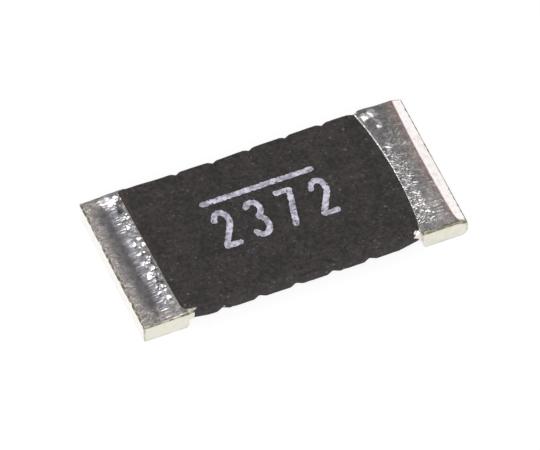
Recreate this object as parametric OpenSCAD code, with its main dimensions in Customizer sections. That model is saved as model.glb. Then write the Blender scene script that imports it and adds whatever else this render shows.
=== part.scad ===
// Metal-strip chip resistor for surface mounting.
// Two copper end blocks carry a slotted resistance strip, which is welded to their inner edges,
// and a black coating closes round the strip.
// X runs along the chip, Z is up from the board, and the origin is under the middle of the chip.

/* [Chip] */
// Length over the outer ends of the two terminals
chip_length = 6.35; // [5.6:0.05:7.6]
// Width over the terminals
chip_width = 3.18; // [2.6:0.02:4.2]

/* [Terminals] */
// Length of each terminal along the chip
terminal_length = 0.88; // [0.7:0.01:1.1]
// Thickness of each terminal
terminal_thickness = 0.4; // [0.34:0.01:0.6]
// Radius on the terminals' edges
terminal_edge_radius = 0.03; // [0.01:0.005:0.05]
// Radius of the terminals' inner bottom edges
inner_edge_radius = 0.08; // [0.01:0.01:0.1]
// Length of the sheared slope along the right terminal's outer top edge
slope_length = 0.2; // [0.1:0.01:0.3]
// Height that the sheared slope drops
slope_drop = 0.07; // [0.02:0.01:0.12]
// Radius of the right terminal's outer bottom edge, rolled over by the shear
rolled_edge_radius = 0.12; // [0.04:0.01:0.18]

/* [Weld beads] */
// Width of each weld bead
bead_width = 0.62; // [0.3:0.02:0.8]
// Height of the beads above the terminals
bead_height = 0.03; // [0.01:0.005:0.05]
// Distance of each bead's crest from the joint, towards the outer end
bead_shift = 0.11; // [0:0.01:0.2]
// Radius of the drop of weld metal at the front end of each joint
drop_radius = 0.09; // [0.06:0.01:0.12]
// Distance of the drop's middle from the joint, towards the middle of the chip
drop_shift = 0.05; // [0:0.01:0.08]

/* [Resistance strip] */
// Thickness of the strip, flush with the tops of the terminals
strip_thickness = 0.18; // [0.1:0.01:0.22]
// Distance of the strip's long edges in from the terminals' ends
strip_inset = 0.12; // [0.06:0.01:0.2]
// Distance from one slot to the next, which opens on the other side
slot_pitch = 0.36; // [0.26:0.01:0.6]
// Width of each slot
slot_width = 0.12; // [0.06:0.01:0.16]
// Metal left between each slot's round end and the far edge
slot_web = 0.86; // [0.4:0.02:1.2]
// Least plain length of strip between the joints and the slots
slot_margin = 0.5; // [0.3:0.02:0.8]
// Distance of the row of slots from the middle of the chip
slot_shift = 0; // [-0.1:0.01:0.1]
// Distance of the rear slots from halfway between the front ones
rear_slot_shift = -0.05; // [-0.08:0.01:0.08]

/* [Coating] */
// Thickness of the coating over the strip
top_cover = 0.07; // [0.05:0.01:0.12]
// Thickness of the coating under the strip
bottom_cover = 0.1; // [0.04:0.01:0.12]
// Thickness of the coating over the strip's long edges
side_cover = 0.115; // [0.08:0.005:0.12]
// Length that the coating laps over the left terminal, at its rear corner
left_lap = 0.15; // [0.08:0.01:0.2]
// Length by which the left end falls back from its rear corner to its front one
left_skew = 0.065; // [0.01:0.005:0.1]
// Length that the coating laps over the right terminal, at the middle of its bowed end
right_lap = 0.08; // [0.04:0.005:0.2]
// Depth of the bow in the coating's right end
right_bow = 0.14; // [0.1:0.01:0.4]
// Radius along the coating's long top edges
side_radius = 0.1; // [0.04:0.01:0.12]
// Radius along the coating's long bottom edges
under_radius = 0.05; // [0.02:0.01:0.08]
// Radius along the coating's ends
end_radius = 0.05; // [0.02:0.01:0.06]
// Radius of the coating's front left corner, seen from above
front_corner_radius = 0.2; // [0.05:0.01:0.3]
// Radius of the coating's rear left corner, seen from above
rear_corner_radius = 0.06; // [0.05:0.01:0.3]
// Radius of the coating's right corners, seen from above
right_corner_radius = 0.35; // [0.2:0.01:0.5]
// Length of the taper at each end of the coating's front edge
taper_length = 0.55; // [0.3:0.01:0.7]
// Depth of the tapers
taper_depth = 0.1; // [0.04:0.01:0.12]
// Width of the notch where the coating sinks into a front slot's mouth
front_notch_width = 0.24; // [0.14:0.01:0.3]
// Depth of the front notches
front_notch_depth = 0.06; // [0.02:0.005:0.08]
// Width of the notch at a rear slot's mouth
rear_notch_width = 0.2; // [0.14:0.01:0.3]
// Depth of the rear notches
rear_notch_depth = 0.04; // [0.02:0.005:0.08]

/* [Hidden] */
$fn = 96;
// Amount by which a cut runs past the face that it opens
cut_past = 0.2;

outer_x = chip_length / 2;
joint_x = outer_x - terminal_length;
half_width = chip_width / 2;

strip_half_width = half_width - strip_inset;
strip_bottom = terminal_thickness - strip_thickness;
slot_count = floor((2 * joint_x - 2 * slot_margin) / slot_pitch) + 1;

coating_half_width = strip_half_width + side_cover;
coating_top = terminal_thickness + top_cover;
coating_bottom = strip_bottom - bottom_cover;
coating_left = -joint_x - left_lap;
coating_right = joint_x + right_lap;

// Radius of the arc that spans a chord of the given width and rises by the given height
function arc_radius(chord, rise) = (chord * chord / 4 + rise * rise) / (2 * rise);

// Whether a slot opens on the front edge, as even ones do, or on the rear one
function at_front(i) = i % 2 == 0;

// Place of each slot along the chip
function slot_x(i) =
    slot_shift + (i - (slot_count - 1) / 2) * slot_pitch + (at_front(i) ? 0 : rear_slot_shift);

// What is left to cut away from a square corner at the origin to round it
module corner_cut(radius) {
    difference() {
        translate([-cut_past, -cut_past])
            square(radius + cut_past);
        translate([radius, radius])
            circle(radius);
    }
}

// Rectangle between two corners, with a radius for each of its corners:
// low left, low right, high right and high left
module rounded_rectangle(low, high, radii) {
    corners = [low, [high.x, low.y], high, [low.x, high.y]];
    difference() {
        translate(low)
            square(high - low);
        for (i = [0:3])
            if (radii[i] > 0)
                translate(corners[i])
                    mirror([i == 1 || i == 2 ? 1 : 0, 0])
                        mirror([0, i >= 2 ? 1 : 0])
                            corner_cut(radii[i]);
    }
}

// Extrudes a section drawn in Y and Z along X
module along_x(from, to) {
    translate([from, 0, 0])
        rotate([90, 0, 90])
            linear_extrude(to - from)
                children();
}

// Extrudes a section drawn in X and Z along Y
module along_y(from, to) {
    translate([0, to, 0])
        rotate([90, 0, 0])
            linear_extrude(to - from)
                children();
}

// Copper block at the right-hand end: the child is its side view, in X and Z
module terminal_block() {
    r = terminal_edge_radius;
    intersection() {
        along_y(-half_width, half_width)
            children();
        along_x(joint_x, outer_x)
            rounded_rectangle([-half_width, 0], [half_width, terminal_thickness], [r, r, r, r]);
        linear_extrude(terminal_thickness)
            rounded_rectangle([joint_x, -half_width], [outer_x, half_width], [r, r, r, r]);
    }
}

// Low round ridge of weld metal along the right-hand joint
// Past the joint, towards the middle of the chip, it stops at the strip's front edge
module weld_bead() {
    bead_radius = arc_radius(bead_width, bead_height);
    bead_x = joint_x + bead_shift;
    bead_top = terminal_thickness + bead_height;
    bead_half_length = half_width - terminal_edge_radius;
    difference() {
        intersection() {
            along_y(-bead_half_length, bead_half_length)
                intersection() {
                    translate([bead_x, bead_top - bead_radius])
                        circle(bead_radius, $fn = 720);
                    translate([bead_x - bead_width, terminal_thickness])
                        square([2 * bead_width, 2 * bead_height]);
                }
            along_x(bead_x - bead_width, bead_x + bead_width)
                rounded_rectangle(
                    [-bead_half_length, terminal_thickness - cut_past],
                    [bead_half_length, bead_top],
                    [0, 0, bead_height, bead_height]
                );
        }
        translate([joint_x - bead_width, -half_width, terminal_thickness - cut_past])
            cube([bead_width, strip_inset, bead_height + 2 * cut_past]);
    }
}

// Drop of weld metal in front of the strip at the right-hand joint, level with the bead's crest
module weld_drop() {
    along_y(terminal_edge_radius - half_width, -strip_half_width)
        translate([joint_x - drop_shift, terminal_thickness + bead_height - drop_radius])
            circle(drop_radius);
}

module left_terminal() {
    r = terminal_edge_radius;
    color([0.78, 0.79, 0.77])
        mirror([1, 0, 0])
            union() {
                terminal_block()
                    rounded_rectangle(
                        [joint_x, 0],
                        [outer_x, terminal_thickness],
                        [inner_edge_radius, r, r, 0]
                    );
                weld_bead();
                weld_drop();
            }
}

module right_terminal() {
    color([0.78, 0.79, 0.77])
        union() {
            terminal_block()
                difference() {
                    rounded_rectangle(
                        [joint_x, 0],
                        [outer_x, terminal_thickness],
                        [inner_edge_radius, rolled_edge_radius, 0, 0]
                    );
                    polygon([
                        [outer_x - slope_length, terminal_thickness],
                        [outer_x, terminal_thickness - slope_drop],
                        [outer_x + cut_past, terminal_thickness - slope_drop],
                        [outer_x + cut_past, terminal_thickness + cut_past],
                        [outer_x - slope_length, terminal_thickness + cut_past]
                    ]);
                }
            weld_bead();
            weld_drop();
        }
}

// Slot with a round end, cut in from the front edge of the strip
module slot() {
    slot_length = 2 * strip_half_width - slot_web;
    translate([-slot_width / 2, -strip_half_width - cut_past])
        square([slot_width, slot_length - slot_width / 2 + cut_past]);
    translate([0, -strip_half_width + slot_length - slot_width / 2])
        circle(slot_width / 2);
}

module resistance_strip() {
    color([0.6, 0.58, 0.55])
        translate([0, 0, strip_bottom])
            linear_extrude(strip_thickness)
                difference() {
                    translate([-joint_x, -strip_half_width])
                        square([2 * joint_x, 2 * strip_half_width]);
                    for (i = [0:slot_count - 1])
                        translate([slot_x(i), 0])
                            mirror([0, at_front(i) ? 0 : 1])
                                slot();
                }
}

// Triangle that tapers a front corner of the coating, drawn from above at the left one
module corner_taper() {
    polygon([
        [0, taper_depth],
        [taper_length, 0],
        [taper_length, -cut_past],
        [-cut_past, -cut_past],
        [-cut_past, taper_depth]
    ]);
}

// Coating seen from above, before its right end is bowed and its left one skewed
module coating_plan() {
    difference() {
        rounded_rectangle(
            [coating_left, -coating_half_width],
            [coating_right, coating_half_width],
            [front_corner_radius, right_corner_radius, right_corner_radius, rear_corner_radius]
        );
        translate([coating_left, -coating_half_width])
            corner_taper();
        translate([coating_right, -coating_half_width])
            mirror([1, 0])
                corner_taper();
    }
}

// Outside of the coating before its notches: its section along the chip, its outline from above,
// a round-edged block for the skewed left end and a round-rimmed disc for the bowed right end
module coating_body() {
    coating_length = coating_right - coating_left;
    coating_width = 2 * coating_half_width;
    bow_radius = arc_radius(coating_width, right_bow);
    intersection() {
        along_x(coating_left, coating_right)
            rounded_rectangle(
                [-coating_half_width, coating_bottom],
                [coating_half_width, coating_top],
                [under_radius, under_radius, side_radius, side_radius]
            );
        translate([0, 0, coating_bottom])
            linear_extrude(coating_top - coating_bottom)
                coating_plan();
        translate([coating_left, coating_half_width, 0])
            rotate([0, 0, atan(left_skew / coating_width)])
                along_y(-2 * coating_width, coating_width)
                    rounded_rectangle(
                        [0, coating_bottom],
                        [2 * coating_length, coating_top],
                        [0, 0, 0, end_radius]
                    );
        translate([coating_right - bow_radius, 0, 0])
            rotate_extrude($fn = 360)
                rounded_rectangle(
                    [0, coating_bottom],
                    [bow_radius, coating_top],
                    [0, 0, end_radius, 0]
                );
    }
}

// Upright V cut into the front edge of the coating
module notch(width, depth) {
    mouth = width / 2 * (depth + cut_past) / depth;
    translate([0, -coating_half_width, coating_bottom - cut_past])
        linear_extrude(coating_top - coating_bottom + 2 * cut_past)
            polygon([[0, depth], [-mouth, -cut_past], [mouth, -cut_past]]);
}

module coating() {
    color([0.24, 0.22, 0.21])
        difference() {
            coating_body();
            for (i = [0:slot_count - 1])
                translate([slot_x(i), 0, 0])
                    if (at_front(i))
                        notch(front_notch_width, front_notch_depth);
                    else
                        mirror([0, 1, 0])
                            notch(rear_notch_width, rear_notch_depth);
            resistance_strip();
            left_terminal();
            right_terminal();
        }
}

left_terminal();
right_terminal();
resistance_strip();
coating();
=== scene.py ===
"""Looks of a metal-strip chip resistor: tinned end blocks, a black coating and its printed marking."""

import logging
import math
from collections.abc import Callable, Sequence
from dataclasses import dataclass
from enum import Enum
from functools import partial, reduce

import bmesh
import bpy
from mathutils import Matrix, Vector, noise


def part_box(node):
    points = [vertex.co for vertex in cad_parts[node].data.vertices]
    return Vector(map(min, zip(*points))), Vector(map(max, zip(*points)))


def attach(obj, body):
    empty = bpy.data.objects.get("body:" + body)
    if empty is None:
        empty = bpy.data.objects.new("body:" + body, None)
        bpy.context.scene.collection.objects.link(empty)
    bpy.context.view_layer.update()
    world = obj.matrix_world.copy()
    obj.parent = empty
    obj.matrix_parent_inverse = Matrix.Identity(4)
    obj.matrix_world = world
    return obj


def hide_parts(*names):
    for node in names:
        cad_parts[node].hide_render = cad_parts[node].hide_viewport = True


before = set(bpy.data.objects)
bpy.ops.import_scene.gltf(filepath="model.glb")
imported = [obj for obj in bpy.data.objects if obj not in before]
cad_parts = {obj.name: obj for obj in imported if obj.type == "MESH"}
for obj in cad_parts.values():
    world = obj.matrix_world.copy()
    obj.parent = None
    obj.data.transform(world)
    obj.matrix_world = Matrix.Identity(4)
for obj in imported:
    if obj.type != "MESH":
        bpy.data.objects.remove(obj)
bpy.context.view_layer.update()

log = logging.getLogger("chip_resistor")

MILLIMETRE = 0.001
BODY = "root"

# Distances in millimetres within which two places are near each other, or the same.
NEAR = 1e-4
SAME = 1e-5
# Reach of a round lump as a share of the lumps' pitch.
LUMP_REACH = 0.7

Colour = tuple[float, float, float]
Triple = tuple[float, float, float]
Point = tuple[float, float]
Socket = bpy.types.NodeSocket


class Axis(Enum):
    """Axes of the part's frame: along the chip, across it, and up from the board."""

    ALONG = 0
    ACROSS = 1
    UP = 2

    @property
    def direction(self) -> Vector:
        """Unit vector along the axis."""
        return Vector([1.0 if i == self.value else 0.0 for i in range(3)])


class Side(Enum):
    """End of the chip that a terminal stands at, as the sign of its X."""

    LEFT = -1
    RIGHT = 1


class Slot(Enum):
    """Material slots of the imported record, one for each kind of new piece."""

    TIN = "tinned_copper"
    COATING = "black_coating"
    INK = "marking_ink"


def ramp(value: float, low: float, high: float) -> float:
    """Smooth step from 0 at low to 1 at high, for either order of the two.

    Args:
        value: Place to read the step at.
        low: Where the step starts.
        high: Where the step ends.

    Returns:
        A share between 0 and 1.
    """
    t = min(1.0, max(0.0, (value - low) / (high - low)))
    return t * t * (3.0 - 2.0 * t)


def bump(value: float, middle: float, reach: float) -> float:
    """Bell that is 1 at the middle and fades over about the reach."""
    return math.exp(-((value - middle) / reach) ** 2)


def ripple(x: float, y: float, pitch: float, seed: float = 0.0) -> float:
    """Smooth noise between -1 and 1 whose humps lie about a pitch apart."""
    return noise.noise(Vector((x / pitch, y / pitch, seed)))


class Pattern(Enum):
    """Kinds of noise: smooth ripples, round lumps of random size, and sharp ridges as on crumpled foil."""

    RIPPLES = "ripples"
    LUMPS = "lumps"
    CREASES = "creases"


@dataclass(frozen=True)
class Unevenness:
    """Noise that raises and lowers a surface.

    Attributes:
        height: Height of its humps.
        pitch: Distance between them.
        seed: Shift of the pattern.
        pattern: Kind of noise.
        stretch: How many times longer than wide the humps are along the chip.
    """

    height: float
    pitch: float
    seed: float
    pattern: Pattern = Pattern.RIPPLES
    stretch: float = 1.0

    def share(self, x: float, y: float) -> float:
        """Height at a place as a share of the humps' height.

        Args:
            x: Place along the chip.
            y: Place across the chip.

        Returns:
            A share of at most 1.
        """
        x /= self.stretch
        if self.pattern is Pattern.LUMPS:
            nearest = noise.voronoi(Vector((x / self.pitch, y / self.pitch, self.seed)))[0][0]
            return max(0.0, 1.0 - (nearest / LUMP_REACH) ** 2)
        if self.pattern is Pattern.CREASES:
            return 1.0 - 2.0 * abs(ripple(x, y, self.pitch, self.seed))
        return ripple(x, y, self.pitch, self.seed)

    def at(self, x: float, y: float) -> float:
        """Height at a place."""
        return self.height * self.share(x, y)


def arc_radius(half_chord: float, rise: float) -> float:
    """Radius of the arc that rises by the given height over half a chord."""
    return (half_chord * half_chord + rise * rise) / (2.0 * rise)


@dataclass(frozen=True)
class Slope:
    """Slope that shearing left along a block's outer top edge, with a bowed start that turns at the front.

    Attributes:
        start_x: Where it starts at its ends, along the chip.
        drop: How far it falls.
        bow: How far its start is bowed.
        bow_half: Half of the bow's length across the chip.
        turn: How far its start turns outwards at the front corner.
        turn_from: Where that turn starts, across the chip.
        turn_to: Where that turn ends.
    """

    start_x: float
    drop: float = 0.07
    bow: float = 0.028
    bow_half: float = 1.5
    turn: float = 0.035
    turn_from: float = -1.3
    turn_to: float = -1.58

    def start(self, y: float) -> float:
        """Where the slope starts at a place across the chip."""
        bowed = self.start_x - self.bow * (1.0 - (y / self.bow_half) ** 2)
        return bowed + self.turn * ramp(y, self.turn_from, self.turn_to)


@dataclass(frozen=True)
class ChipSizes:
    """Places on the chip in millimetres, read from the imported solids."""

    outer_x: float
    joint_x: float
    half_width: float
    terminal_top: float
    bead_reach: float
    bead_height: float
    coating_left: float
    coating_right: float
    coating_half_width: float
    coating_bottom: float
    coating_top: float

    @classmethod
    def from_frame(cls) -> "ChipSizes":
        """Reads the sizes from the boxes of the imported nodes.

        Returns:
            The sizes.
        """
        boxes = {name: [Vector(corner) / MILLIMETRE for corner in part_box(name)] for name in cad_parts}
        right_low, right_high = boxes["right_terminal"]
        strip_high = boxes["resistance_strip"][1]
        coat_low, coat_high = boxes["coating"]
        return cls(
            outer_x=right_high.x,
            joint_x=strip_high.x,
            half_width=right_high.y,
            terminal_top=strip_high.z,
            bead_reach=strip_high.x - right_low.x,
            bead_height=right_high.z - strip_high.z,
            coating_left=coat_low.x,
            coating_right=coat_high.x,
            coating_half_width=coat_high.y,
            coating_bottom=coat_low.z,
            coating_top=coat_high.z,
        )


@dataclass(frozen=True)
class Crumb:
    """Lumpy blob of weld metal whose front and top are pressed flat, in millimetres.

    Attributes:
        middle: Its middle.
        radii: Its reach along each axis.
        lumpy: Depth of its lumps as a share of its reach.
        seed: Shift of its lumps.
        front: Where its flat front stands across the chip.
        top: Height of its flat top.
    """

    middle: Triple
    radii: Triple
    lumpy: float
    seed: float
    front: float
    top: float


class Clay:
    """A mesh in millimetres that operators shape and that is handed over as an object in metres."""

    def __init__(self) -> None:
        """Starts with an empty mesh."""
        self.mesh = bmesh.new()

    def box(self, low: Sequence[float], high: Sequence[float]) -> None:
        """Adds a box between two corners.

        Args:
            low: Its lowest corner.
            high: Its highest corner.
        """
        low, high = Vector(low), Vector(high)
        place = Matrix.Translation((low + high) / 2) @ Matrix.Diagonal((*(high - low), 1.0))
        bmesh.ops.create_cube(self.mesh, size=1.0, matrix=place)

    def slice(self, axis: Axis, place: float) -> None:
        """Cuts every face along the plane square to an axis at a place on it.

        Args:
            axis: Axis that the plane is square to.
            place: Where on that axis it lies.
        """
        bmesh.ops.bisect_plane(
            self.mesh,
            geom=[*self.mesh.verts, *self.mesh.edges, *self.mesh.faces],
            dist=1e-6,
            plane_co=axis.direction * place,
            plane_no=axis.direction,
        )

    def round_edges(self, chosen: Callable[[bmesh.types.BMEdge], bool], radius: float, segments: int) -> None:
        """Rounds the edges that a test picks.

        Args:
            chosen: Says whether an edge is rounded.
            radius: Radius of the rounding.
            segments: Number of faces across the rounding.
        """
        bmesh.ops.bevel(
            self.mesh,
            geom=[edge for edge in self.mesh.edges if chosen(edge)],
            offset=radius,
            offset_type="OFFSET",
            segments=segments,
            profile=0.5,
            affect="EDGES",
            material=-1,
            clamp_overlap=True,
        )

    def split(self, axis: Axis, low: float, high: float, pitch: float) -> None:
        """Divides the edges that run along an axis between two places into steps of about a pitch.

        Args:
            axis: Direction of the edges.
            low: Lower end of the span that they cover.
            high: Upper end of that span.
            pitch: Length of a step.
        """
        edges = []
        for edge in self.mesh.edges:
            first, last = (vert.co for vert in edge.verts)
            middle = ((first + last) / 2)[axis.value]
            run = abs((last - first)[axis.value])
            if low < middle < high and run > 0.5 * (high - low) and run > 0.98 * (last - first).length:
                edges.append(edge)
        cuts = max(1, round((high - low) / pitch) - 1)
        bmesh.ops.subdivide_edges(self.mesh, edges=edges, cuts=cuts, use_grid_fill=True)

    def shape(self, place: Callable[[Vector], Vector]) -> None:
        """Moves every point to where a function of its place says."""
        for vert in self.mesh.verts:
            vert.co = place(vert.co)

    def weather(self, depth: Callable[[Vector, Vector], float]) -> None:
        """Moves every point along its normal, by a depth that depends on its place and normal.

        Args:
            depth: Says how far outwards a point with a place and a normal moves.
        """
        self.mesh.normal_update()
        moves = [(vert, vert.normal * depth(vert.co, vert.normal)) for vert in self.mesh.verts]
        for vert, move in moves:
            vert.co += move

    def mark(self, name: str, value: Callable[[Vector], float]) -> None:
        """Writes a number for every point, by its place, that a finish reads under a name.

        Args:
            name: Name of the number.
            value: Says the number of a point at a place.
        """
        layer = self.mesh.verts.layers.float.new(name)
        for vert in self.mesh.verts:
            vert[layer] = value(vert.co)

    def ribbon(self, path: Sequence[Vector], half_width: Callable[[float], float], across: int) -> None:
        """Adds a flat strip along a path with round ends, lying in the plane of the path.

        Args:
            path: Evenly spaced points of the strip's centre line.
            half_width: Half of the strip's width at a length along the path.
            across: Number of faces over the width.
        """
        step = (path[1] - path[0]).length
        length = step * (len(path) - 1)
        cap = half_width(0.0)
        rows = round((length + 2 * cap) / step)
        points = bmesh.ops.create_grid(self.mesh, x_segments=rows, y_segments=across, size=0.5)["verts"]
        for vert in points:
            along = (vert.co.x + 0.5) * (length + 2 * cap) - cap
            beyond = max(0.0, -along, along - length)
            reach = min(max(along, 0.0), length)
            index = min(int(reach / step), len(path) - 2)
            share = reach / step - index
            tangent = self.tangent(path, index).lerp(self.tangent(path, index + 1), share).normalized()
            centre = path[index].lerp(path[index + 1], share) + tangent * (along - reach)
            width = half_width(reach) * math.sqrt(max(0.0, 1.0 - (beyond / cap) ** 2))
            vert.co = centre + Vector((-tangent.y, tangent.x, 0.0)) * (2.0 * vert.co.y * width)

    @staticmethod
    def tangent(path: Sequence[Vector], index: int) -> Vector:
        """Direction of a path at one of its points."""
        return (path[min(index + 1, len(path) - 1)] - path[max(index - 1, 0)]).normalized()

    def thicken(self, depth: float) -> None:
        """Extrudes every face downwards into a closed slab.

        Args:
            depth: Thickness of the slab.
        """
        sheet = list(self.mesh.faces)
        grown = bmesh.ops.extrude_face_region(self.mesh, geom=sheet)["geom"]
        lowered = [item for item in grown if isinstance(item, bmesh.types.BMVert)]
        bmesh.ops.translate(self.mesh, vec=(0.0, 0.0, -depth), verts=lowered)

    def rod(self, path: Sequence[Vector], radius: Callable[[float], float], around: int) -> None:
        """Adds a round rod along a path, closed to a point at both ends.

        Args:
            path: Points of the rod's centre line.
            radius: Radius of the rod at a share of its length from 0 to 1.
            around: Number of faces round it.
        """
        rows = len(path) - 1
        points = bmesh.ops.create_grid(self.mesh, x_segments=rows, y_segments=around, size=0.5)["verts"]
        for vert in points:
            index = round((vert.co.x + 0.5) * rows)
            turn = 2.0 * math.pi * (vert.co.y + 0.5)
            tangent = self.tangent(path, index)
            side = tangent.cross(Axis.UP.direction).normalized()
            rise = side.cross(tangent)
            reach = 0.0 if index in (0, rows) else radius(index / rows)
            vert.co = path[index] + reach * (math.cos(turn) * side + math.sin(turn) * rise)

    def blob(self, crumb: Crumb, pressed: float = 0.1) -> None:
        """Adds a crumb of weld metal.

        Args:
            crumb: Its place, size and lumps.
            pressed: Share that is left of what stood out past its flat front and top.
        """
        points = bmesh.ops.create_icosphere(self.mesh, subdivisions=4, radius=1.0)["verts"]
        shift = Vector((crumb.seed,) * 3)
        for vert in points:
            lump = noise.noise(vert.co * 1.3 + shift) + 0.5 * noise.noise(vert.co * 3.1 + shift)
            vert.co *= 1.0 + crumb.lumpy * lump
        place = Matrix.Translation(crumb.middle) @ Matrix.Diagonal((*crumb.radii, 1.0))
        bmesh.ops.transform(self.mesh, matrix=place, verts=points)
        for vert in points:
            if vert.co.y < crumb.front:
                vert.co.y = crumb.front + pressed * (vert.co.y - crumb.front)
            if vert.co.z > crumb.top:
                vert.co.z = crumb.top + pressed * (vert.co.z - crumb.top)

    def hand_over(
        self, name: str, material: bpy.types.Material, slot: Slot, stands_for: str = ""
    ) -> bpy.types.Object:
        """Closes the mesh and makes it a piece of the object.

        Args:
            name: Name of the piece.
            material: Finish of the piece.
            slot: The record's slot that the finish belongs to; not used.
            stands_for: CAD node that the piece replaces, if any.

        Returns:
            The new object.
        """
        bmesh.ops.remove_doubles(self.mesh, verts=self.mesh.verts, dist=SAME)
        bmesh.ops.recalc_face_normals(self.mesh, faces=self.mesh.faces)
        bmesh.ops.scale(self.mesh, vec=(MILLIMETRE,) * 3, verts=self.mesh.verts)
        for face in self.mesh.faces:
            face.smooth = True
        data = bpy.data.meshes.new(name)
        self.mesh.to_mesh(data)
        self.mesh.free()
        data.materials.append(material)
        piece = bpy.data.objects.new(name, data)
        bpy.context.scene.collection.objects.link(piece)
        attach(piece, BODY)
        if stands_for:
            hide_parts(stands_for)
        log.info("%s: %d faces", name, len(data.polygons))
        return piece


class NodeGraph:
    """Shader nodes of a material or of the room."""

    def __init__(self, tree: bpy.types.NodeTree) -> None:
        """Takes the tree that the nodes go into."""
        self.tree = tree

    def node(self, kind: str, settings: dict | None = None, **inputs: object) -> bpy.types.Node:
        """Adds a node.

        Args:
            kind: Type of the node.
            settings: Its properties.
            **inputs: Its input sockets by name, each a number, a colour or a socket to link.

        Returns:
            The node.
        """
        node = self.tree.nodes.new(kind)
        for key, value in (settings or {}).items():
            setattr(node, key, value)
        for key, value in inputs.items():
            self.feed(node.inputs[key.replace("_", " ")], value)
        return node

    def feed(self, socket: Socket, value: object) -> None:
        """Links a socket into an input or sets the input to a constant.

        Args:
            socket: The input.
            value: A socket to link, or a number, colour or vector.
        """
        if isinstance(value, bpy.types.NodeSocket):
            self.tree.links.new(value, socket)
        elif isinstance(value, tuple) and socket.type == "RGBA":
            socket.default_value = (*value, 1.0)
        else:
            socket.default_value = value

    def step(
        self,
        value: Socket,
        low: float,
        high: float,
        start: float = 0.0,
        end: float = 1.0,
        smooth: bool = True,
    ) -> Socket:
        """Step of a value, from start at low to end at high.

        Args:
            value: What is read.
            low: Where the step starts.
            high: Where the step ends.
            start: Result up to the start.
            end: Result past the end.
            smooth: Whether the step eases in and out or runs straight.

        Returns:
            The result.
        """
        settings = {"interpolation_type": "SMOOTHSTEP" if smooth else "LINEAR"}
        node = self.node("ShaderNodeMapRange", settings, Value=value)
        for key, number in (("From Min", low), ("From Max", high), ("To Min", start), ("To Max", end)):
            node.inputs[key].default_value = number
        return node.outputs["Result"]

    def calc(self, operation: str, first: object, second: object) -> Socket:
        """Result of a sum on two values.

        Args:
            operation: Blender's name for the sum.
            first: A number or a socket.
            second: A number or a socket.

        Returns:
            The result.
        """
        node = self.node("ShaderNodeMath", {"operation": operation})
        self.feed(node.inputs[0], first)
        self.feed(node.inputs[1], second)
        return node.outputs[0]

    def product(self, *values: object) -> Socket:
        """Values multiplied with each other."""
        return reduce(partial(self.calc, "MULTIPLY"), values)

    def total(self, *values: object) -> Socket:
        """Values added up."""
        return reduce(partial(self.calc, "ADD"), values)

    def largest(self, *values: object) -> Socket:
        """Largest of the values."""
        return reduce(partial(self.calc, "MAXIMUM"), values)

    def difference(self, first: object, second: object) -> Socket:
        """First value less the second."""
        return self.calc("SUBTRACT", first, second)

    def band(self, value: Socket, low: float, high: float, soft: float) -> Socket:
        """Mask that is 1 between two values and fades over a soft margin outside them.

        Args:
            value: What is read.
            low: Where the band starts.
            high: Where it ends.
            soft: Width of the margins.

        Returns:
            The mask.
        """
        rise = self.step(value, low - soft, low)
        fall = self.step(value, high, high + soft, 1.0, 0.0)
        return self.product(rise, fall)

    def paint(self, share: Socket, under: object, over: object) -> Socket:
        """Colour that goes from under to over by a share.

        Args:
            share: Share of the upper colour.
            under: Lower colour, as a triple or a socket.
            over: Upper colour, as a triple or a socket.

        Returns:
            The mixed colour.
        """
        node = self.node("ShaderNodeMix", {"data_type": "RGBA"})
        self.feed(node.inputs[0], share)
        self.feed(node.inputs[6], under)
        self.feed(node.inputs[7], over)
        return node.outputs[2]


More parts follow.
